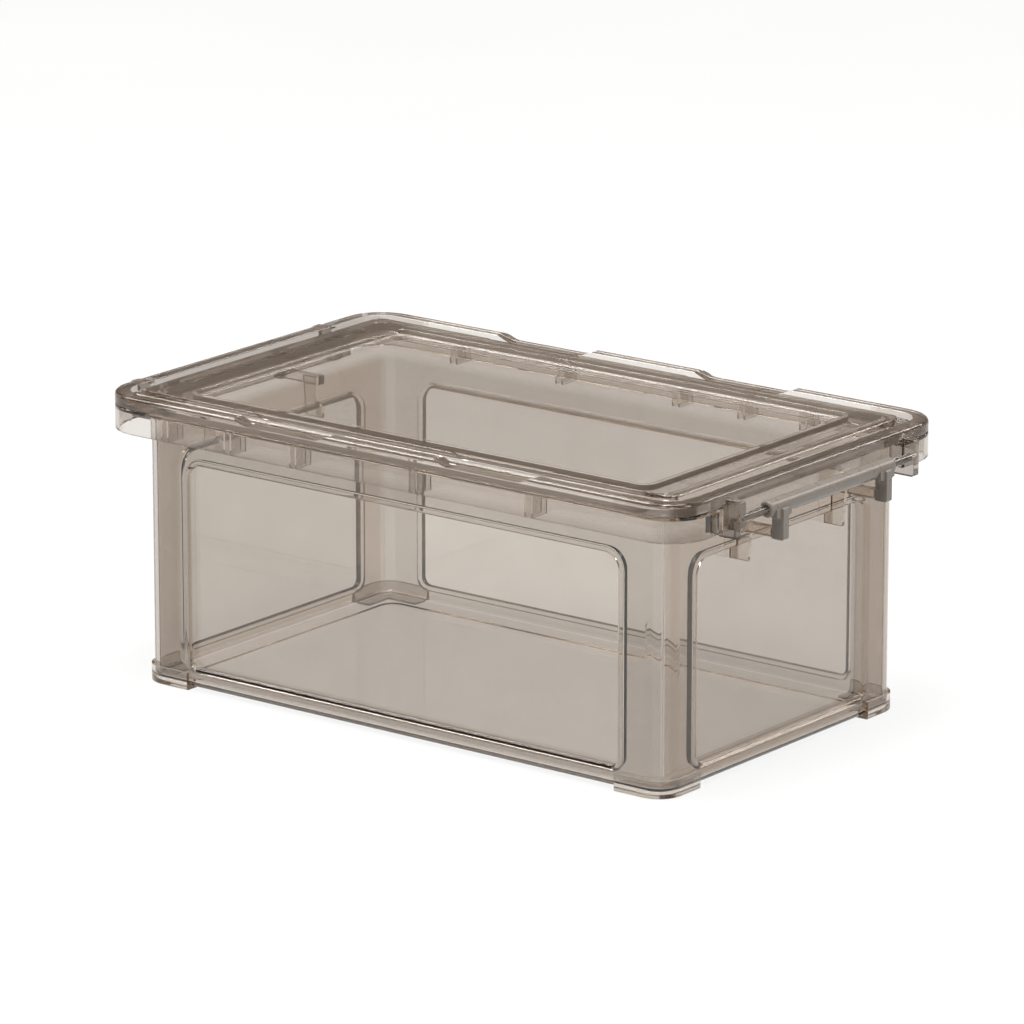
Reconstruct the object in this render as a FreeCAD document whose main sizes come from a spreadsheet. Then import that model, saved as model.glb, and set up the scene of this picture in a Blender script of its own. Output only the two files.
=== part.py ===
"""Clear lidded storage box: a tub with corner posts, a lift-off lid, two swing latches and four foot caps.

Millimetres. The origin is the middle of the footprint at floor level.
+X runs along the length and +Z is up.
"""
import FreeCAD, Part
import math
import os
import re

import Sketcher

SIZES = {
    # Overall sizes
    "overall_height": 166.5,
    "tub_length": 360,
    "tub_width": 214.5,
    "tub_corner": 13,
    "rim_out_end": 20,
    "rim_out_side": 14.75,
    "lid_corner": 24,
    # Tub walls, floor and recessed panels
    "wall": 2.5,
    "floor_thickness": 3,
    "base_lift": 1.2,
    "base_round": 5,
    "floor_round": 3,
    "base_rail_height": 12,
    "recess_depth": 4.5,
    "recess_corner": 9,
    "recess_low_corner": 4.5,
    "post_along_length": 31.75,
    "post_along_width": 29.65,
    "header_long": 29.75,
    "header_end": 34,
    "edge_round": 1.8,
    "floor_step": 1,
    "floor_margin": 12,
    "corner_line_radius": 0.7,
    # Rim flange, hanging skirt and its ribs
    "flange_thickness": 2.5,
    "skirt_height": 14.5,
    "skirt_wall": 2.2,
    "skirt_round": 0.8,
    "rib_width": 5.5,
    "rib_wall": 1.2,
    "front_rib_a": -152,
    "front_rib_b": -107,
    "front_rib_c": -61,
    "front_rib_d": 22,
    "front_rib_e": 100,
    "back_rib_a": -129,
    "back_rib_b": -53,
    "back_rib_c": 29,
    "back_rib_d": 74,
    "back_rib_e": 116,
    # Latch bay in each short end of the rim, with its catch ribs and gussets
    "bay_side_clearance": 2,
    "bay_depth": 7.8,
    "catch_width": 5,
    "catch_height": 5,
    "catch_gap": 0.8,
    "catch_drop": 3,
    "gusset_thickness": 2,
    "gusset_inset": 4.2,
    "gusset_reach": 14,
    "gusset_taper": 2,
    "gusset_height": 18,
    # Lid
    "lid_rim_height": 7,
    "seat_gap": 0.1,
    "bead_width": 9,
    "bead_round": 2.4,
    "seam_round": 0.7,
    "groove_width": 8,
    "groove_depth": 4.5,
    "groove_round": 1.2,
    "panel_border_end": 43.5,
    "panel_border_side": 30,
    "panel_corner": 6,
    "panel_drop": 3.5,
    "panel_edge_round": 1,
    "lip_round": 0.8,
    "hollow_wall": 2.2,
    "plateau_thickness": 3,
    "panel_thickness": 2.5,
    "ledge_width": 10,
    "channel_width": 9,
    "channel_length": 156,
    "channel_depth": 1.2,
    "channel_corner": 3,
    "dip_start": 36,
    "dip_end": 103,
    "dip_depth": 3.3,
    "dip_slope": 8,
    "dip_round": 10,
    "dip_over": 0.15,
    "dip_wall": 0.75,
    "ring_height": 5.5,
    "ring_wall": 2,
    "ring_clearance": 0.5,
    # Rail that carries each latch, and its two posts
    "rail_radius": 2.4,
    "rail_out": 8,
    "rail_drop": 6,
    "rail_post_width": 5,
    "rail_past_latch": 20,
    "rail_post_out": 1.6,
    "rail_post_height": 17,
    "rail_post_round": 1.2,
    "bay_clearance": 1.3,
    # Latch
    "latch_past_leg": 9.5,
    "latch_radius": 4.6,
    "latch_end_round": 1.2,
    "rail_clearance": 0.1,
    "latch_mouth": 3.6,
    "leg_width": 4.8,
    "leg_centre": 47.5,
    "leg_past_catch": 0.9,
    "leg_inner": 1,
    "leg_outer": 6.5,
    "leg_round": 1.2,
    "leg_flare": 4,
    "snap_radius": 0.9,
    "snap_proud": 0.5,
    "snap_height": 1.1,
    # Foot caps
    "foot_height": 10,
    "foot_proud": 2,
    "foot_ledge": 12,
    "foot_clearance": 0.2,
    "foot_round": 1,
}

# Heights and places that several pieces share, worked out from the sizes
LID_BOTTOM = "(overall_height - lid_rim_height)"
RIM_TOP = f"({LID_BOTTOM} - seat_gap)"
SKIRT_BOTTOM = f"({RIM_TOP} - skirt_height)"
FLANGE_BOTTOM = f"({RIM_TOP} - flange_thickness)"
FLOOR_TOP = "(base_lift + floor_thickness)"
LONG_PANEL_TOP = f"({RIM_TOP} - header_long)"
END_PANEL_TOP = f"({RIM_TOP} - header_end)"
LID_LENGTH = "(tub_length + 2 * rim_out_end)"
LID_WIDTH = "(tub_width + 2 * rim_out_side)"
PANEL_LENGTH = f"({LID_LENGTH} - 2 * panel_border_end)"
PANEL_WIDTH = f"({LID_WIDTH} - 2 * panel_border_side)"
LATCH_HALF = "(leg_centre + latch_past_leg)"
RAIL_POST_Y = f"({LATCH_HALF} + rail_past_latch + rail_post_width / 2)"
BAY_HALF = f"({RAIL_POST_Y} + rail_post_width / 2 + bay_side_clearance)"
BAY_WALL_X = f"({LID_LENGTH} / 2 - bay_depth)"
RAIL_X = f"({LID_LENGTH} / 2 + rail_out)"
RAIL_Z = f"({LID_BOTTOM} - rail_drop)"
LEG_INNER_X = f"({RAIL_X} - leg_inner)"
CATCH_X = f"({LEG_INNER_X} - catch_gap)"
CATCH_TOP = f"({SKIRT_BOTTOM} - catch_drop)"
CATCH_BOTTOM = f"({CATCH_TOP} - catch_height)"
LEG_BOTTOM = f"({CATCH_BOTTOM} - leg_past_catch)"
RECESSED_END_X = "(tub_length / 2 - recess_depth)"
RING_INSET = "(wall + ring_clearance)"
BORE_RADIUS = "(rail_radius + rail_clearance)"

# Length, width and corner radius of the outlines that pieces share
OUTLINES = {
    "tub": ("tub_length", "tub_width", "tub_corner"),
    "lid": (LID_LENGTH, LID_WIDTH, "lid_corner"),
    "panel": (PANEL_LENGTH, PANEL_WIDTH, "panel_corner"),
}

FRONT_RIBS = ["front_rib_a", "front_rib_b", "front_rib_c", "front_rib_d", "front_rib_e"]
BACK_RIBS = ["back_rib_a", "back_rib_b", "back_rib_c", "back_rib_d", "back_rib_e"]
X_AXIS = FreeCAD.Vector(1, 0, 0)
Y_AXIS = FreeCAD.Vector(0, 1, 0)
ORIGIN = FreeCAD.Vector(0, 0, 0)
NEAR = 0.01
# Length of a cutter that has to run right out of the piece it cuts
THROUGH = 20

doc = FreeCAD.newDocument("storage_box")
sheet = doc.addObject("Spreadsheet::Sheet", "Sizes")
for row, (alias, value) in enumerate(SIZES.items(), start=1):
    sheet.set(f"A{row}", alias)
    sheet.set(f"B{row}", str(value))
    sheet.setAlias(f"B{row}", alias)
doc.recompute()


def linked(text):
    """The expression with each size's name turned into a reference to its cell."""

    def reference(word):
        name = word.group()
        return f"Sizes.{name}" if name in SIZES else name

    return re.sub(r"[a-z_]+", reference, text)


def number(text):
    """The expression's present value."""
    return float(sheet.evalExpression(text))


def bind(target, expressions):
    for name, text in expressions.items():
        target.setExpression(name, linked(text))


def rectangle(sketch, left, right, bottom, top, radius, low_radius=None):
    """Draws a rectangle with round corners whose four sides and radii follow the sheet."""
    low_radius = low_radius or radius
    edges = (left, right, bottom, top, radius, low_radius)
    x_low, x_high, y_low, y_high, r, low_r = (number(text) for text in edges)
    right_corners = [(x_high - low_r, y_low + low_r, low_r), (x_high - r, y_high - r, r)]
    corners = [*right_corners, (x_low + r, y_high - r, r), (x_low + low_r, y_low + low_r, low_r)]
    sides = [
        ((x_low + low_r, y_low), (x_high - low_r, y_low)),
        ((x_high, y_low + low_r), (x_high, y_high - r)),
        ((x_high - r, y_high), (x_low + r, y_high)),
        ((x_low, y_high - r), (x_low, y_low + low_r)),
    ]
    quarter = math.pi / 2
    first = sketch.GeometryCount
    for index in range(4):
        start, end = (FreeCAD.Vector(*point, 0) for point in sides[index])
        sketch.addGeometry(Part.LineSegment(start, end), False)
        *centre, corner_radius = corners[index]
        circle = Part.Circle(FreeCAD.Vector(*centre, 0), FreeCAD.Vector(0, 0, 1), corner_radius)
        sketch.addGeometry(Part.ArcOfCircle(circle, (index - 1) * quarter, index * quarter), False)
    for index in range(4):
        line = first + 2 * index
        arc = line + 1
        next_line = first + (2 * index + 2) % 8
        sketch.addConstraint(Sketcher.Constraint("Tangent", line, 2, arc, 1))
        sketch.addConstraint(Sketcher.Constraint("Tangent", arc, 2, next_line, 1))
        sketch.addConstraint(Sketcher.Constraint("Vertical" if index % 2 else "Horizontal", line))
    low_right, high_right, high_left, low_left = (first + 2 * index + 1 for index in range(4))
    sketch.addConstraint(Sketcher.Constraint("Equal", low_right, low_left))
    sketch.addConstraint(Sketcher.Constraint("Equal", high_right, high_left))
    dimensions = [
        (Sketcher.Constraint("Radius", low_right, low_r), low_radius),
        (Sketcher.Constraint("Radius", high_right, r), radius),
        (Sketcher.Constraint("DistanceY", -1, 1, first, 1, y_low), bottom),
        (Sketcher.Constraint("DistanceX", -1, 1, first + 2, 1, x_high), right),
        (Sketcher.Constraint("DistanceY", -1, 1, first + 4, 1, y_high), top),
        (Sketcher.Constraint("DistanceX", -1, 1, first + 6, 1, x_low), left),
    ]
    for constraint, text in dimensions:
        place = sketch.addConstraint(constraint)
        sketch.setExpression(f"Constraints[{place}]", linked(text))


def plane_of(body, role):
    return next(item for item in body.Origin.OriginFeatures if item.Role == role)


def prism(name, start, length, *outlines, plane="XY_Plane"):
    """A body padded from nested round-cornered rectangles, from start along the plane's normal."""
    body = doc.addObject("PartDesign::Body", name)
    sketch = body.newObject("Sketcher::SketchObject", f"{name}_outline")
    sketch.AttachmentSupport = [(plane_of(body, plane), "")]
    sketch.MapMode = "FlatFace"
    sketch.setExpression("AttachmentOffset.Base.z", linked(start))
    for outline in outlines:
        rectangle(sketch, *outline)
    pad = body.newObject("PartDesign::Pad", f"{name}_pad")
    pad.Profile = sketch
    pad.setExpression("Length", linked(length))
    doc.recompute()
    return body


def centred(length, width, radius):
    """The outline of a rectangle centred on the origin."""
    return (f"-({length}) / 2", f"({length}) / 2", f"-({width}) / 2", f"({width}) / 2", radius)


def inset_outline(piece, inset):
    """The outline of the tub, the lid or the lid's panel, moved in by the inset."""
    length, width, corner = OUTLINES[piece]
    both = f"2 * ({inset})"
    return centred(f"{length} - {both}", f"{width} - {both}", f"{corner} - ({inset})")


def round_edges(body, radius, chosen):
    """Adds a fillet to a body, on the edges for which chosen(edge) is true."""
    tip = body.Tip
    names = [f"Edge{index}" for index, edge in enumerate(tip.Shape.Edges, start=1) if chosen(edge)]
    fillet = body.newObject("PartDesign::Fillet", f"{body.Name}_fillet")
    fillet.Base = (tip, names)
    fillet.setExpression("Radius", linked(radius))
    doc.recompute()
    return body


def round_solid(name, base, radius, chosen):
    """A fillet on a combined solid, on the edges for which chosen(edge) is true."""
    doc.recompute()
    value = number(radius)
    fillet = doc.addObject("Part::Fillet", name)
    fillet.Base = base
    picked = [index for index, edge in enumerate(base.Shape.Edges, start=1) if chosen(edge)]
    fillet.Edges = [(index, value, value) for index in picked]
    doc.recompute()
    return fillet


def block(name, x_span, y_span, z_span):
    """A plain box between pairs of expressions."""
    box = doc.addObject("Part::Box", name)
    for side, axis, (low, high) in zip(("Length", "Width", "Height"), "xyz", (x_span, y_span, z_span)):
        bind(box, {side: f"({high}) - ({low})", f"Placement.Base.{axis}": low})
    return box


def trapezoid(name, bottom_x, top_x, y_span, z_span):
    """A block whose X span changes evenly from its bottom to its top."""
    wedge = doc.addObject("Part::Wedge", name)
    wedge.Placement = FreeCAD.Placement(ORIGIN, FreeCAD.Rotation(X_AXIS, 90))
    near, far = f"-({y_span[1]})", f"-({y_span[0]})"
    bind(wedge, {"Xmin": bottom_x[0], "Xmax": bottom_x[1], "X2min": top_x[0], "X2max": top_x[1]})
    bind(wedge, {"Zmin": near, "Zmax": far, "Z2min": near, "Z2max": far})
    bind(wedge, {"Ymin": z_span[0], "Ymax": z_span[1]})
    return wedge


def rod(name, radius, x, z, y_start, length):
    """A cylinder along +Y."""
    cylinder = doc.addObject("Part::Cylinder", name)
    cylinder.Placement = FreeCAD.Placement(ORIGIN, FreeCAD.Rotation(X_AXIS, -90))
    bind(cylinder, {"Radius": radius, "Height": length})
    bind(cylinder, {"Placement.Base.x": x, "Placement.Base.y": y_start, "Placement.Base.z": z})
    return cylinder


def fuse(name, *pieces):
    union = doc.addObject("Part::MultiFuse", name)
    union.Shapes = list(pieces)
    union.Refine = True
    return union


def cut(name, base, *tools):
    difference = doc.addObject("Part::Cut", name)
    difference.Base = base
    difference.Tool = tools[0] if len(tools) == 1 else fuse(f"{name}_tools", *tools)
    difference.Refine = True
    return difference


def common(name, *pieces):
    shared = doc.addObject("Part::MultiCommon", name)
    shared.Shapes = list(pieces)
    return shared


def mirrored(name, source, normal):
    """The same piece on the other side of a plane through the origin."""
    mirror = doc.addObject("Part::Mirroring", name)
    mirror.Source = source
    mirror.Base = ORIGIN
    mirror.Normal = normal
    return mirror


def both_ends(name, source):
    """A piece at the right-hand end with its mirror image at the left-hand end."""
    return [source, mirrored(f"{name}_left_copy", source, X_AXIS)]


def at_height(edge, text):
    """True where the whole edge lies at that height."""
    height = number(text)
    return abs(edge.BoundBox.ZMin - height) < NEAR and abs(edge.BoundBox.ZMax - height) < NEAR


def tub_volume(name, inset, bottom, corner_round):
    """The tub's outline as a solid: a core at the wall panels' depth, in a proud frame round each panel."""
    core_bottom = f"({bottom} + {corner_round})"
    core_outline = inset_outline("tub", f"recess_depth + ({inset})")
    core = prism(f"{name}_core", core_bottom, f"{RIM_TOP} - {core_bottom}", core_outline)
    shell = prism(f"{name}_shell", bottom, f"{RIM_TOP} - ({bottom})", inset_outline("tub", inset))
    shell = round_edges(shell, corner_round, lambda edge: at_height(edge, bottom))
    long_half = f"tub_length / 2 - post_along_length + ({inset})"
    end_half = f"tub_width / 2 - post_along_width + ({inset})"
    corners = (f"recess_corner + ({inset})", f"recess_low_corner + ({inset})")
    low_edge = f"base_lift + base_rail_height - ({inset})"
    long_outline = (f"-({long_half})", long_half, low_edge, f"{LONG_PANEL_TOP} + ({inset})", *corners)
    end_outline = (f"-({end_half})", end_half, low_edge, f"{END_PANEL_TOP} + ({inset})", *corners)
    across, along = ("-tub_width", "2 * tub_width"), ("-tub_length", "2 * tub_length")
    long_window = prism(f"{name}_long_window", *across, long_outline, plane="XZ_Plane")
    end_window = prism(f"{name}_end_window", *along, end_outline, plane="YZ_Plane")
    frame = cut(f"{name}_frame", shell, long_window, end_window)
    side_y, end_x = number(f"tub_width / 2 - ({inset})"), number(f"tub_length / 2 - ({inset})")
    window_x, window_y = number(long_half) + NEAR, number(end_half) + NEAR
    low, high = number(low_edge) - NEAR, number(f"{LONG_PANEL_TOP} + ({inset})") + NEAR

    def borders_a_window(edge):
        box = edge.BoundBox
        if box.ZMin < low or box.ZMax > high:
            return False
        reach_x, reach_y = max(abs(box.XMin), abs(box.XMax)), max(abs(box.YMin), abs(box.YMax))
        on_side = abs(min(abs(box.YMin), abs(box.YMax)) - side_y) < NEAR and reach_x < window_x
        on_end = abs(min(abs(box.XMin), abs(box.XMax)) - end_x) < NEAR and reach_y < window_y
        return on_side or on_end

    frame = round_solid(f"{name}_frame_round", frame, "edge_round", borders_a_window)
    return fuse(name, core, frame)


def rim_volume(name, inset, height):
    """The rim's outline as a solid: the lid's outline with a bay for the latch in each short end."""
    slab = prism(f"{name}_slab", SKIRT_BOTTOM, height, inset_outline("lid", inset))
    half = f"({BAY_HALF} + ({inset}))"
    past = f"{LID_LENGTH} / 2 + {THROUGH}"
    bay = block(
        f"{name}_bay",
        (f"{BAY_WALL_X} - ({inset})", past),
        (f"-{half}", half),
        (f"{SKIRT_BOTTOM} - {THROUGH}", f"{RIM_TOP} + {THROUGH}"),
    )
    return cut(name, slab, *both_ends(f"{name}_bay", bay))


def make_rim():
    rim = cut(
        "rim",
        rim_volume("rim_outside", "0", "skirt_height"),
        rim_volume("rim_inside", "skirt_wall", "skirt_height - flange_thickness"),
    )
    outline_x, outline_y = number(f"{LID_LENGTH} / 2"), number(f"{LID_WIDTH} / 2")

    def on_outline(edge):
        if not at_height(edge, SKIRT_BOTTOM) and not at_height(edge, RIM_TOP):
            return False
        box = edge.BoundBox
        outer_x = abs(min(abs(box.XMin), abs(box.XMax)) - outline_x) < NEAR
        outer_y = abs(min(abs(box.YMin), abs(box.YMax)) - outline_y) < NEAR
        reaches_x = abs(max(abs(box.XMin), abs(box.XMax)) - outline_x) < NEAR
        reaches_y = abs(max(abs(box.YMin), abs(box.YMax)) - outline_y) < NEAR
        return outer_x or outer_y or (reaches_x and reaches_y)

    return round_solid("rim_round", rim, "skirt_round", on_outline)


def make_ribs():
    """Ribs between the skirt and the long walls, each a pair of thin plates."""
    ribs = []
    wall_y, skirt_y = "(tub_width / 2 - wall / 2)", f"({LID_WIDTH} / 2 - skirt_wall / 2)"
    for alias in FRONT_RIBS + BACK_RIBS:
        on_front = alias in FRONT_RIBS
        y_span = (f"-{skirt_y}", f"-{wall_y}") if on_front else (wall_y, skirt_y)
        left, right = f"{alias} - rib_width / 2", f"{alias} + rib_width / 2"
        plates = {"left": (left, f"{left} + rib_wall"), "right": (f"{right} - rib_wall", right)}
        for side, x_span in plates.items():
            ribs.append(block(f"rib_{alias}_{side}", x_span, y_span, (SKIRT_BOTTOM, FLANGE_BOTTOM)))
    return ribs


def make_catches():
    """At each latch leg: a catch rib from the tub's end wall to the leg, over a tapered gusset."""
    pieces = []
    inside_wall = f"{RECESSED_END_X} - wall / 2"
    for side, sign in (("front", "-"), ("back", "")):
        middle = f"{sign}leg_centre"
        catch = block(
            f"catch_{side}",
            (inside_wall, CATCH_X),
            (f"{middle} - catch_width / 2", f"{middle} + catch_width / 2"),
            (CATCH_BOTTOM, CATCH_TOP),
        )
        plate_y = f"{sign}(leg_centre - gusset_inset)"
        outer = f"{RECESSED_END_X} + gusset_reach"
        gusset = trapezoid(
            f"gusset_{side}",
            (inside_wall, f"{outer} - gusset_taper"),
            (inside_wall, outer),
            (f"{plate_y} - gusset_thickness / 2", f"{plate_y} + gusset_thickness / 2"),
            (f"{CATCH_BOTTOM} - gusset_height", CATCH_TOP),
        )
        pieces += both_ends(f"catch_{side}", catch) + both_ends(f"gusset_{side}", gusset)
    return pieces


def make_tub():
    outside = tub_volume("tub_outside", "0", "base_lift", "base_round")
    inside = tub_volume("tub_inside", "wall", FLOOR_TOP, "floor_round")
    solid = fuse("tub_solid", outside, make_rim(), *make_ribs(), *make_catches())
    margin = "2 * (recess_depth + wall + floor_margin)"
    floor_outline = centred(f"tub_length - {margin}", f"tub_width - {margin}", "recess_corner")
    step_height = f"{FLOOR_TOP} - floor_step"
    floor_recess = prism("floor_recess", step_height, f"floor_step + {THROUGH}", floor_outline)
    return fuse("tub", cut("tub_shell", solid, inside, floor_recess), *make_corner_lines())


def make_corner_lines():
    """A thin upright bead inside each post, at the middle of its round corner, up to the lid's ring."""
    top = f"{LID_BOTTOM} - ring_height - ring_clearance"
    diagonal = "(tub_corner - (tub_corner - wall) * sqrt(2) / 2)"
    x, y = f"(tub_length / 2 - {diagonal})", f"(tub_width / 2 - {diagonal})"
    beads = []
    for side, x_sign in (("right", ""), ("left", "-")):
        for end, y_sign in (("front", "-"), ("back", "")):
            bead = doc.addObject("Part::Cylinder", f"corner_line_{end}_{side}")
            bind(bead, {"Radius": "corner_line_radius", "Height": f"{top} - {FLOOR_TOP}"})
            bind(bead, {"Placement.Base.x": x_sign + x, "Placement.Base.y": y_sign + y})
            bind(bead, {"Placement.Base.z": FLOOR_TOP})
            beads.append(bead)
    return beads


def make_lid_plate():
    """The lid's plate with its bead, groove, lowered panel, end channels, dips and locating ring."""
    plate = prism("lid_plate", LID_BOTTOM, "lid_rim_height", inset_outline("lid", "0"))
    plate = round_edges(plate, "bead_round", lambda edge: at_height(edge, "overall_height"))
    plate = round_edges(plate, "seam_round", lambda edge: at_height(edge, LID_BOTTOM))
    groove_floor = "overall_height - groove_depth"
    groove_outside = inset_outline("lid", "bead_width")
    groove_inside = inset_outline("lid", "bead_width + groove_width")
    groove = prism("lid_groove", groove_floor, f"groove_depth + {THROUGH}", groove_outside, groove_inside)
    groove = round_edges(groove, "groove_round", lambda edge: at_height(edge, groove_floor))
    panel_floor = "overall_height - panel_drop"
    panel = prism("lid_panel", panel_floor, f"panel_drop + {THROUGH}", inset_outline("panel", "0"))
    panel = round_edges(panel, "panel_edge_round", lambda edge: at_height(edge, panel_floor))
    ledge_x = f"({PANEL_LENGTH} / 2 + ledge_width)"
    channel_x = (ledge_x, f"{ledge_x} + channel_width")
    channel_y = ("-channel_length / 2", "channel_length / 2")
    channel = prism(
        "lid_channel",
        "overall_height - channel_depth",
        f"channel_depth + {THROUGH}",
        (*channel_x, *channel_y, "channel_corner"),
    )
    ring_outside = inset_outline("tub", RING_INSET)
    ring_inside = inset_outline("tub", f"{RING_INSET} + ring_wall")
    bottom = f"{LID_BOTTOM} - ring_height"
    hollow = prism(
        "lid_hollow",
        bottom,
        "ring_height + lid_rim_height - plateau_thickness",
        ring_inside,
        inset_outline("panel", "-hollow_wall"),
    )
    under_panel = "ring_height + lid_rim_height - panel_drop - panel_thickness"
    underside = prism("lid_underside", bottom, under_panel, ring_inside)
    locating_ring = prism("locating_ring", bottom, "ring_height", ring_outside, ring_inside)
    inner_x = number(f"{LID_LENGTH} / 2 - bead_width") + NEAR
    inner_y = number(f"{LID_WIDTH} / 2 - bead_width") + NEAR

    def on_inner_top(edge):
        box = edge.BoundBox
        inside = max(-box.XMin, box.XMax) < inner_x and max(-box.YMin, box.YMax) < inner_y
        return inside and at_height(edge, "overall_height")

    hollowed = cut("lid_top", plate, groove, panel, hollow, underside)
    top = round_solid("lid_top_round", hollowed, "lip_round", on_inner_top)
    cutters = [*make_dips(), *both_ends("lid_channel", channel)]
    return fuse("lid_moulding", cut("lid_dipped", top, *cutters), locating_ring)


def make_dips():
    """Two lowered stretches with S-shaped ends on each long side of the lid, short of its hollow."""
    dips = []
    inner_end = f"tub_width / 2 - {RING_INSET} - ring_wall + dip_wall"
    y_span = (f"-({LID_WIDTH} / 2 + {THROUGH})", f"-({inner_end})")
    bottom, top = "overall_height - dip_depth", "overall_height + dip_over"

    for side, sign in (("right", ""), ("left", "-")):
        start, end = ("dip_start", "dip_end") if sign == "" else ("-dip_end", "-dip_start")
        low_x = (f"{start} + dip_slope", f"{end} - dip_slope")
        trough = trapezoid(f"dip_{side}_trough", low_x, (start, end), y_span, (bottom, top))
        over_x = (f"{start} - 2 * dip_round", f"{end} + 2 * dip_round")
        over = block(f"dip_{side}_over", over_x, y_span, (top, f"{top} + {THROUGH}"))
        bends = [number(text) for text in (*low_x, start, end)]

        def is_a_bend(edge):
            box = edge.BoundBox
            at_a_bend = min(abs(box.XMin - x) for x in bends) < NEAR and box.XLength < NEAR
            return at_a_bend and (at_height(edge, bottom) or at_height(edge, top))

        front = round_solid(f"dip_{side}", fuse(f"dip_{side}_cutter", trough, over), "dip_round", is_a_bend)
        dips += [front, mirrored(f"dip_{side}_back", front, Y_AXIS)]
    return dips


def make_rail():
    """The rail at the right-hand end and the two posts that hang it from the lid's edge."""
    pieces = [rod("rail", "rail_radius", RAIL_X, RAIL_Z, f"-{RAIL_POST_Y}", f"2 * {RAIL_POST_Y}")]
    outline = (
        f"{BAY_WALL_X} + bay_clearance",
        f"{RAIL_X} + rail_post_out",
        f"{LID_BOTTOM} - rail_post_height",
        f"{LID_BOTTOM} + lid_rim_height / 2",
        "rail_post_round",
    )
    for side, sign in (("front", ""), ("back", "-")):
        start = f"{sign}{RAIL_POST_Y} - rail_post_width / 2"
        pieces.append(prism(f"rail_post_{side}", start, "rail_post_width", outline, plane="XZ_Plane"))
    return fuse("rail_frame", *pieces)


def make_lid():
    rail_frame = make_rail()
    return fuse("lid", make_lid_plate(), *both_ends("rail_frame", rail_frame))


def make_leg_flare(side, middle):
    """The shoulder by which a leg grows out of the latch's bar, with a hollow curve on each side."""
    x_span = (f"{LEG_INNER_X} + leg_round", f"{RAIL_X} + leg_outer - leg_round")
    half = "(leg_width / 2 + leg_flare)"
    low = f"{RAIL_Z} - latch_radius - leg_flare"
    y_span = (f"{middle} - {half}", f"{middle} + {half}")
    shoulder = block(f"leg_shoulder_{side}", x_span, y_span, (low, RAIL_Z))
    curves = []
    for sign, place in (("-", "low"), ("+", "high")):
        curve = doc.addObject("Part::Cylinder", f"leg_curve_{side}_{place}")
        curve.Placement = FreeCAD.Placement(ORIGIN, FreeCAD.Rotation(Y_AXIS, 90))
        bind(curve, {"Radius": "leg_flare", "Height": f"leg_inner + leg_outer + {THROUGH}"})
        bind(curve, {"Placement.Base.x": f"{LEG_INNER_X} - {THROUGH} / 2", "Placement.Base.z": low})
        bind(curve, {"Placement.Base.y": f"{middle} {sign} {half}"})
        curves.append(curve)
    return cut(f"leg_flare_{side}", shoulder, *curves)


def make_latch():
    """A bar clipped round the rail, with two legs that hang to the catch ribs."""
    bar = rod("latch_bar", "latch_radius", RAIL_X, RAIL_Z, f"-{LATCH_HALF}", f"2 * {LATCH_HALF}")
    bar = round_solid("latch_bar_round", bar, "latch_end_round", lambda edge: edge.Closed)
    legs = []
    outline = (LEG_INNER_X, f"{RAIL_X} + leg_outer", LEG_BOTTOM, RAIL_Z, "leg_round")
    for side, sign in (("front", ""), ("back", "-")):
        start = f"{sign}leg_centre - leg_width / 2"
        legs.append(prism(f"latch_leg_{side}", start, "leg_width", outline, plane="XZ_Plane"))
        legs.append(make_leg_flare(side, f"{sign}leg_centre"))
        snap_x = f"{LEG_INNER_X} - snap_proud + snap_radius"
        snap_z = f"{LEG_BOTTOM} + snap_height"
        legs.append(rod(f"latch_snap_{side}", "snap_radius", snap_x, snap_z, start, "leg_width"))
    bore = rod("latch_bore", BORE_RADIUS, RAIL_X, RAIL_Z, f"-2 * {LATCH_HALF}", f"4 * {LATCH_HALF}")
    mouth = block(
        "latch_mouth",
        (f"{RAIL_X} - 2 * latch_radius", RAIL_X),
        (f"-2 * {LATCH_HALF}", f"2 * {LATCH_HALF}"),
        (f"{RAIL_Z} - latch_mouth / 2", f"{RAIL_Z} + latch_mouth / 2"),
    )
    return cut("latch_right", fuse("latch_solid", bar, *legs), bore, mouth)


def make_foot():
    """A cap under the front right post: a ledge, with a lip round the post's two outer sides."""
    slab = prism("foot_slab", "0", "foot_height", inset_outline("tub", "-foot_proud"))
    slab = round_edges(slab, "foot_round", lambda edge: at_height(edge, "0"))
    corner = block(
        "foot_corner",
        ("tub_length / 2 - post_along_length", f"tub_length / 2 + {THROUGH}"),
        (f"-(tub_width / 2 + {THROUGH})", "-(tub_width / 2 - post_along_width)"),
        ("0", "foot_height"),
    )
    room = inset_outline("tub", "-foot_clearance")
    seat = "base_lift - seat_gap"
    post = prism("foot_post", seat, f"foot_height + {THROUGH}", room)
    post = round_edges(post, "base_round + foot_clearance", lambda edge: at_height(edge, seat))
    opening = block(
        "foot_opening",
        (f"tub_length / 2 - post_along_length - {THROUGH}", "tub_length / 2 - foot_ledge"),
        ("-(tub_width / 2 - foot_ledge)", f"{THROUGH} - (tub_width / 2 - post_along_width)"),
        (f"-{THROUGH}", f"foot_height + {THROUGH}"),
    )
    return cut("foot_front_right", common("foot_block", slab, corner), post, opening)


tub = make_tub()
lid = make_lid()
latch_right = make_latch()
latch_left = mirrored("latch_left", latch_right, X_AXIS)
foot_front_right = make_foot()
foot_front_left = mirrored("foot_front_left", foot_front_right, X_AXIS)
foot_back_right = mirrored("foot_back_right", foot_front_right, Y_AXIS)
foot_back_left = mirrored("foot_back_left", foot_front_left, Y_AXIS)
feet = [foot_front_left, foot_front_right, foot_back_left, foot_back_right]
sub_parts = [tub, lid, latch_right, latch_left, *feet]
doc.recompute()

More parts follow.
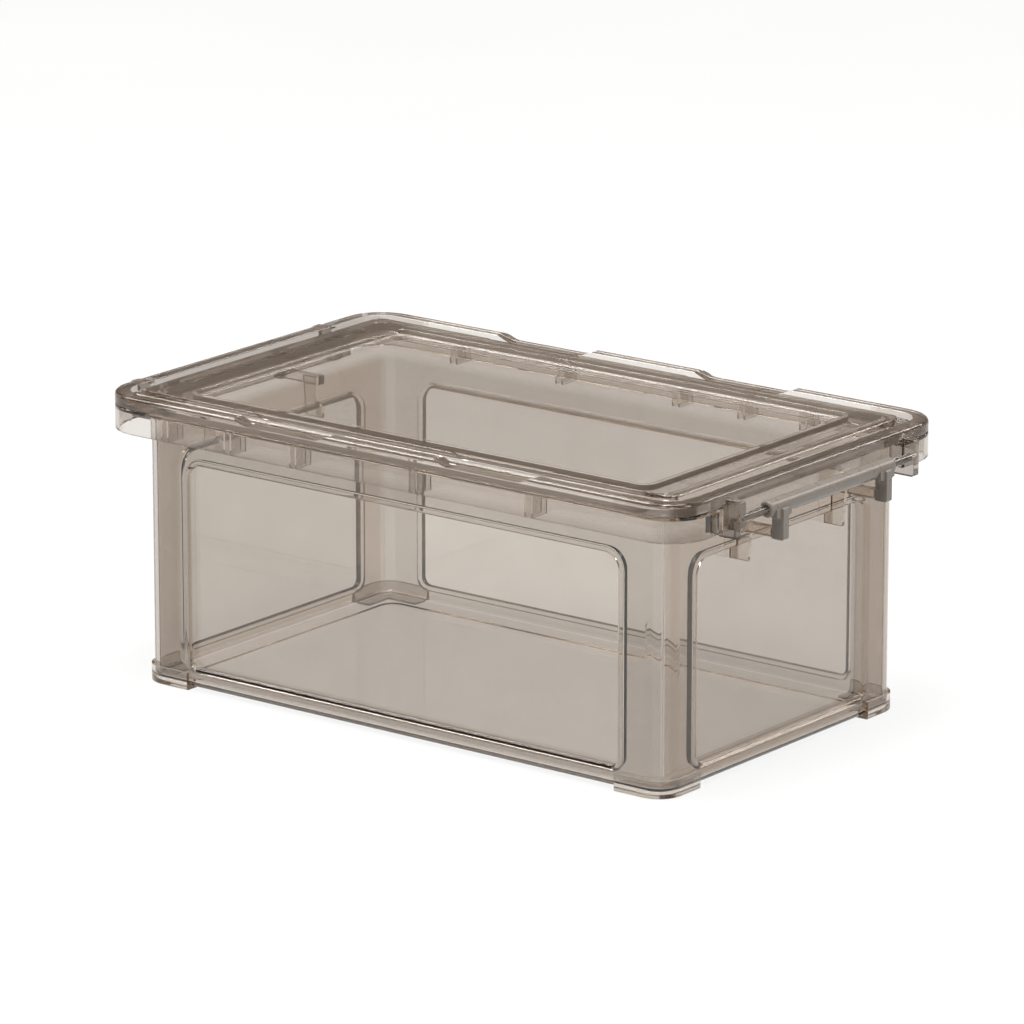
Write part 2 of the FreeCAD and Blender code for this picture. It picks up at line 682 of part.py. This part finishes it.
for item in doc.Objects:
    if "Invalid" in item.State or "Error" in item.State:
        raise RuntimeError(f"{item.Label} failed to build: {item.State}")
for piece in sub_parts:
    if piece.Shape.isNull() or not piece.Shape.isValid():
        raise RuntimeError(f"{piece.Label} has no valid shape")
    if len(piece.Shape.Solids) != 1:
        raise RuntimeError(f"{piece.Label} has {len(piece.Shape.Solids)} solids and should have one")

os.makedirs("parts", exist_ok=True)
for piece in sub_parts:
    piece.Shape.exportStep(f"parts/{piece.Label}.step")
    print(piece.Label, "volume", round(piece.Shape.Volume), "mm3")
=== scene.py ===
"""Finishes, studio light and camera for a clear smoke-tinted storage box with swing latches."""
import math

import bpy
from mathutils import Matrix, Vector


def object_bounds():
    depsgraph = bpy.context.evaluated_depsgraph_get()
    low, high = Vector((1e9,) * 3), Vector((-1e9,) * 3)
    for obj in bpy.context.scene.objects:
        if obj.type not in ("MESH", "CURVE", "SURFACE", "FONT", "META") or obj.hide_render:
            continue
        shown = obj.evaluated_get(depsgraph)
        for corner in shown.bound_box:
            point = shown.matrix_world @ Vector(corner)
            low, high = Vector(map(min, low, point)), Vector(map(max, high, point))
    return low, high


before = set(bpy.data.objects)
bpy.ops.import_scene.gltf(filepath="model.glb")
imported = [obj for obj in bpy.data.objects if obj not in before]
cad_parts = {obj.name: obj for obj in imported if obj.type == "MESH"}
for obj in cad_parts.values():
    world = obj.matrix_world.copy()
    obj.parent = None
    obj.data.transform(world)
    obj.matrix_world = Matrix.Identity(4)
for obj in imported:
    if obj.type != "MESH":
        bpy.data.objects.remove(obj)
cad_low, cad_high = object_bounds()

# Camera: where it looks, from which side and how far, in metres and degrees
AIM = Vector((0.01536, -0.02562, 0.11249))
AZIMUTH = 37.77
ELEVATION = 15.57
DISTANCE = 3.682
# Width of its sensor and its focal length, in millimetres
SENSOR = 36.0
LENS = 237.0

# Studio: a softly glowing white table in a dim warm room, in metres
FLOOR_HALF = 30.0
FLOOR_DROP = 0.0002
FLOOR_GLOW = 0.86
FLOOR_TONES = ((0.100, 0.100, 0.099), (0.110, 0.110, 0.109))
ROOM_COLOUR = (0.27, 0.230, 0.195)
# Soft boxes: name, place and size in metres, and watts
SOFT_BOXES = [
    ("overhead", (0.3, -0.2, 3.0), (2.0, 2.0), 80),
    ("strip", (0.2, -0.7, 2.6), (0.25, 2.2), 34),
    ("left", (-1.75, -0.8, 2.4), (1.0, 2.0), 50),
    ("right", (2.6, -0.2, 1.6), (0.8, 2.0), 24),
    ("back", (0.9, 2.0, 1.6), (0.4, 1.0), 9),
]
# Light runs a long way inside the clear walls, and with few bounces it ends in black patches
BOUNCES = 128

PLASTIC_INDEX = 1.5
# Darker and lighter tint of the tub's zones; the darker end panel, end frame and end rim tints are
# painted shade on the box's ends
PANEL_TINT = ((0.772, 0.742, 0.711), (0.790, 0.760, 0.729))
FRAME_TINT = ((0.601, 0.565, 0.528), (0.618, 0.583, 0.546))
# Painted shade: end panels and end frames tinted darker than the front and back
END_PANEL_PAINTED_SHADE_TINT = ((0.630, 0.598, 0.563), (0.647, 0.615, 0.580))
END_FRAME_PAINTED_SHADE_TINT = ((0.520, 0.455, 0.395), (0.537, 0.472, 0.412))
GUSSET_TINT = ((0.850, 0.820, 0.790), (0.865, 0.835, 0.805))
RIM_TINT = ((0.777, 0.749, 0.721), (0.795, 0.766, 0.739))
# Painted shade: the rim tinted darker at the ends, behind the latches
END_RIM_PAINTED_SHADE_TINT = ((0.600, 0.560, 0.520), (0.615, 0.575, 0.535))
FLOOR_TINT = ((0.900, 0.865, 0.830), (0.915, 0.880, 0.845))
# The same for the lid's zones and for the feet
LID_TINT = ((0.858, 0.828, 0.797), (0.873, 0.843, 0.812))
# Painted reflection: the side border tinted a more neutral grey, for a white light's reflection on
# the front bead
SIDE_BORDER_PAINTED_REFLECTION_TINT = ((0.850, 0.825, 0.800), (0.865, 0.840, 0.815))
# Painted shade: the lid's end border and end beads tinted darker
END_BORDER_PAINTED_SHADE_TINT = ((0.660, 0.620, 0.585), (0.675, 0.635, 0.600))
END_BEAD_PAINTED_SHADE_TINT = ((0.480, 0.450, 0.425), (0.495, 0.465, 0.440))
FOOT_TINT = ((0.760, 0.728, 0.694), (0.778, 0.746, 0.712))
# Red, green and blue light taken per metre of depth
TUB_TAKEN = (16.0, 21.0, 27.0)
LID_TAKEN = (4.0, 5.0, 6.0)
FOOT_TAKEN = (20.0, 26.0, 33.0)
# Density of the absorption over the most light taken, which keeps its colour above black
DENSITY_MARGIN = 1.25
# Darker and lighter tone of the latches
MILKY_TONES = ((0.170, 0.149, 0.129), (0.180, 0.159, 0.139))

# Distances from the middle over which each zone of the tub sets in, in metres; the end zones carry
# the painted shade of the ends
FRAME_FROM_Y = (0.1032, 0.1042)
END_PANEL_SHADE_FROM_X = (0.1700, 0.1715)
END_FRAME_SHADE_FROM_X = (0.1760, 0.1770)
GUSSET_FROM_X = (0.1803, 0.1808)
END_RIM_SHADE_FROM_X = (0.1803, 0.1900)
# The same for the lid, whose end zones carry painted shade
END_BORDER_SHADE_FROM_X = (0.1560, 0.1570)
BORDER_FROM_Y = (0.0915, 0.0925)
END_BEAD_SHADE_FROM_X = (0.1905, 0.1915)
# Heights over which the walls give way to the rim, and the base rail to the floor
RIM_FROM_Z = (0.140, 0.146)
FLOOR_FROM_Z = (0.007, 0.005)
# Square of the normal's upright part over which a face counts as level
LEVEL = (0.90, 0.98)

# Noise textures: features to the metre, and layers of detail
POLISH_NOISE = (90.0, 3.0)
WAVE_NOISE = (14.0, 1.0)
HAZE_NOISE = (38.0, 4.0)
CLOUD_NOISE = (60.0, 2.0)
SATIN_NOISE = (160.0, 3.0)
GRAIN_NOISE = (700.0, 1.0)
FLOOR_NOISE = (3.0, 2.0)
# Middle of a noise texture's range, over which tone and roughness change
NOISE_MIDDLE = (0.35, 0.65)
# Least and most roughness of the clear plastic and of the latches
POLISH = (0.0, 0.012)
SATIN = (0.27, 0.30)
# Bumps: depth in metres, and strength
WAVES = (0.001, 0.008)
GRAIN = (0.00002, 0.004)

FEET = ["foot_front_left", "foot_front_right", "foot_back_left", "foot_back_right"]
LATCHES = ["latch_right", "latch_left"]


class Finish:
    """A procedural material in the part's own frame, built round one Principled shader."""

    def __init__(self, name):
        self.material = bpy.data.materials.new(name)
        self.material.use_nodes = True
        self.tree = self.material.node_tree
        self.tree.nodes.clear()
        self.place = self.node("TexCoord")
        self.shader = self.node("BsdfPrincipled")
        self.output = self.node("OutputMaterial")
        self.link(self.shader.outputs["BSDF"], self.output.inputs["Surface"])

    def node(self, kind, **values):
        """A new node with these values on its inputs."""
        made = self.tree.nodes.new("ShaderNode" + kind)
        for name, value in values.items():
            made.inputs[name.replace("_", " ")].default_value = value
        return made

    def link(self, source, target):
        self.tree.links.new(source, target)

    def set(self, **values):
        """Puts values that are the same all over on the shader's own inputs."""
        for name, value in values.items():
            self.shader.inputs[name.replace("_", " ")].default_value = value

    def feed(self, name, source):
        """Links a value that varies to an input of the shader."""
        self.link(source, self.shader.inputs[name])

    def axes(self, kind):
        """The X, Y and Z of the point's place or of its normal."""
        split = self.node("SeparateXYZ")
        self.link(self.place.outputs[kind], split.inputs["Vector"])
        return split.outputs

    def noise(self, scale, detail):
        """Noise with that many features to the metre."""
        texture = self.node("TexNoise", Scale=scale, Detail=detail)
        self.link(self.place.outputs["Object"], texture.inputs["Vector"])
        return texture.outputs["Fac"]

    def spread(self, value, start, stop, low=0.0, high=1.0):
        """Low where the value is at its start, high where it is at its stop, even between."""
        ranged = self.node("MapRange", From_Min=start, From_Max=stop, To_Min=low, To_Max=high)
        self.link(value, ranged.inputs["Value"])
        return ranged.outputs["Result"]

    def product(self, first, second):
        made = self.node("Math")
        made.operation = "MULTIPLY"
        self.link(first, made.inputs[0])
        self.link(second, made.inputs[1])
        return made.outputs["Value"]

    def size(self, value):
        """The value without its sign."""
        made = self.node("Math")
        made.operation = "ABSOLUTE"
        self.link(value, made.inputs[0])
        return made.outputs["Value"]

    def mottle(self, texture, tones):
        """A darker and a lighter tone, mixed by the middle of the noise's range."""
        ramp = self.node("ValToRGB")
        for element, position, tone in zip(ramp.color_ramp.elements, NOISE_MIDDLE, tones):
            element.position = position
            element.color = (*tone, 1)
        self.link(texture, ramp.inputs["Fac"])
        return ramp.outputs["Color"]

    def mix(self, factor, first, second):
        made = self.node("Mix")
        made.data_type = "RGBA"
        self.link(factor, made.inputs["Factor"])
        self.link(first, made.inputs["A"])
        self.link(second, made.inputs["B"])
        return made.outputs["Result"]

    def bump(self, height, distance, strength):
        made = self.node("Bump", Distance=distance, Strength=strength)
        self.link(height, made.inputs["Height"])
        self.feed("Normal", made.outputs["Normal"])

    def depth_tint(self, taken):
        """Volume absorption that takes so much red, green and blue light per metre."""
        density = DENSITY_MARGIN * max(taken)
        colour = (*(1 - part / density for part in taken), 1)
        depth = self.node("VolumeAbsorption", Color=colour, Density=density)
        self.link(depth.outputs["Volume"], self.output.inputs["Volume"])


def clear_plastic(name, taken):
    """Polished clear plastic with faint flow waves, and the handling haze that its tint follows."""
    finish = Finish(name)
    finish.set(Transmission_Weight=1.0, IOR=PLASTIC_INDEX)
    polish = finish.spread(finish.noise(*POLISH_NOISE), *NOISE_MIDDLE, *POLISH)
    finish.feed("Roughness", polish)
    finish.bump(finish.noise(*WAVE_NOISE), *WAVES)
    finish.depth_tint(taken)
    return finish, finish.noise(*HAZE_NOISE)


def zoned(finish, haze, tint, zones=()):
    """The finish's material in one tint, with each zone's tint laid over those before it."""
    colour = finish.mottle(haze, tint)
    for share, other in zones:
        colour = finish.mix(share, colour, finish.mottle(haze, other))
    finish.feed("Base Color", colour)
    return finish.material


def lid_plastic():
    """Clear plastic, with painted reflection making the side border a more neutral grey, and
    painted shade darkening the end border and end beads.
    """
    finish, haze = clear_plastic("clear_smoke_lid_painted_shade_and_reflection", LID_TAKEN)
    place = finish.axes("Object")
    along, across = finish.size(place["X"]), finish.size(place["Y"])
    zones = [
        # Painted reflection on the side border, painted shade on the end border and end beads
        (finish.spread(across, *BORDER_FROM_Y), SIDE_BORDER_PAINTED_REFLECTION_TINT),
        (finish.spread(along, *END_BORDER_SHADE_FROM_X), END_BORDER_PAINTED_SHADE_TINT),
        (finish.spread(along, *END_BEAD_SHADE_FROM_X), END_BEAD_PAINTED_SHADE_TINT),
    ]
    return zoned(finish, haze, LID_TINT, zones)


def tub_plastic():
    """Clear plastic, paler in panels, gussets, side rims and floor than in the frame, with painted
    shade darkening the end panels, end frames and end rims.
    """
    finish, haze = clear_plastic("clear_smoke_tub_painted_end_shade", TUB_TAKEN)
    place, normal = finish.axes("Object"), finish.axes("Normal")
    along, across = finish.size(place["X"]), finish.size(place["Y"])
    level = finish.spread(finish.product(normal["Z"], normal["Z"]), *LEVEL)
    low = finish.spread(place["Z"], *FLOOR_FROM_Z)
    rim = finish.spread(place["Z"], *RIM_FROM_Z)
    # Painted shade: the end rim, end panel and end frame zones tint the box's ends darker
    end = finish.spread(along, *END_RIM_SHADE_FROM_X)
    zones = [
        (finish.spread(across, *FRAME_FROM_Y), FRAME_TINT),
        (finish.spread(along, *END_PANEL_SHADE_FROM_X), END_PANEL_PAINTED_SHADE_TINT),
        (finish.spread(along, *END_FRAME_SHADE_FROM_X), END_FRAME_PAINTED_SHADE_TINT),
        (finish.spread(along, *GUSSET_FROM_X), GUSSET_TINT),
        (rim, RIM_TINT),
        (finish.product(rim, end), END_RIM_PAINTED_SHADE_TINT),
        (finish.product(level, low), FLOOR_TINT),
    ]
    return zoned(finish, haze, PANEL_TINT, zones)


def milky_plastic():
    """Opaque milky plastic with a cloudy tone, a satin skin and a fine moulded grain."""
    finish = Finish("milky_latch_plastic")
    finish.set(IOR=PLASTIC_INDEX)
    finish.feed("Base Color", finish.mottle(finish.noise(*CLOUD_NOISE), MILKY_TONES))
    satin = finish.spread(finish.noise(*SATIN_NOISE), *NOISE_MIDDLE, *SATIN)
    finish.feed("Roughness", satin)
    finish.bump(finish.noise(*GRAIN_NOISE), *GRAIN)
    return finish.material


def floor_paint():
    """A glowing white table with a barely visible mottle."""
    finish = Finish("floor_paint")
    finish.set(Roughness=1.0, Specular_IOR_Level=0.0)
    finish.feed("Base Color", finish.mottle(finish.noise(*FLOOR_NOISE), FLOOR_TONES))
    finish.set(Emission_Color=(1, 1, 1, 1), Emission_Strength=FLOOR_GLOW)
    return finish.material


def dress(node, material):
    """Gives a CAD node this one material."""
    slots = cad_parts[node].data.materials
    slots.clear()
    slots.append(material)


def link_object(name, data):
    made = bpy.data.objects.new(name, data)
    bpy.context.scene.collection.objects.link(made)
    return made


def make_floor():
    mesh = bpy.data.meshes.new("floor")
    signs = ((-1, -1), (1, -1), (1, 1), (-1, 1))
    corners = [(x * FLOOR_HALF, y * FLOOR_HALF, 0) for x, y in signs]
    mesh.from_pydata(corners, [], [(0, 1, 2, 3)])
    mesh.materials.append(floor_paint())
    floor = link_object("floor", mesh)
    floor.location.z = cad_low.z - FLOOR_DROP


def soft_box(name, place, size, watts):
    """A rectangular soft light that faces the box."""
    data = bpy.data.lights.new(name, "AREA")
    data.shape = "RECTANGLE"
    data.size, data.size_y = size
    data.energy = watts
    light = link_object(name, data)
    light.location = place
    light.rotation_mode = "QUATERNION"
    light.rotation_quaternion = (AIM - Vector(place)).to_track_quat("-Z", "Y")


def make_room():
    world = bpy.data.worlds.new("room")
    world.use_nodes = True
    bpy.context.scene.world = world
    world.node_tree.nodes["Background"].inputs["Color"].default_value = (*ROOM_COLOUR, 1)


def make_camera():
    data = bpy.data.cameras.new("camera")
    data.sensor_width = SENSOR
    data.lens = LENS
    camera = link_object("camera", data)
    turn, rise = math.radians(AZIMUTH), math.radians(ELEVATION)
    level = math.cos(rise)
    back = Vector((math.sin(turn) * level, -math.cos(turn) * level, math.sin(rise)))
    camera.location = AIM + back * DISTANCE
    camera.rotation_mode = "QUATERNION"
    camera.rotation_quaternion = (-back).to_track_quat("-Z", "Y")
    bpy.context.scene.camera = camera


dress("tub", tub_plastic())
dress("lid", lid_plastic())
foot_plastic = zoned(*clear_plastic("clear_foot_plastic", FOOT_TAKEN), FOOT_TINT)
for foot in FEET:
    dress(foot, foot_plastic)
latch_plastic = milky_plastic()
for latch in LATCHES:
    dress(latch, latch_plastic)

make_floor()
make_room()
for box in SOFT_BOXES:
    soft_box(*box)
make_camera()

scene = bpy.context.scene
scene.view_settings.view_transform = "Standard"
scene.cycles.max_bounces = BOUNCES
scene.cycles.transmission_bounces = BOUNCES
scene.cycles.glossy_bounces = BOUNCES
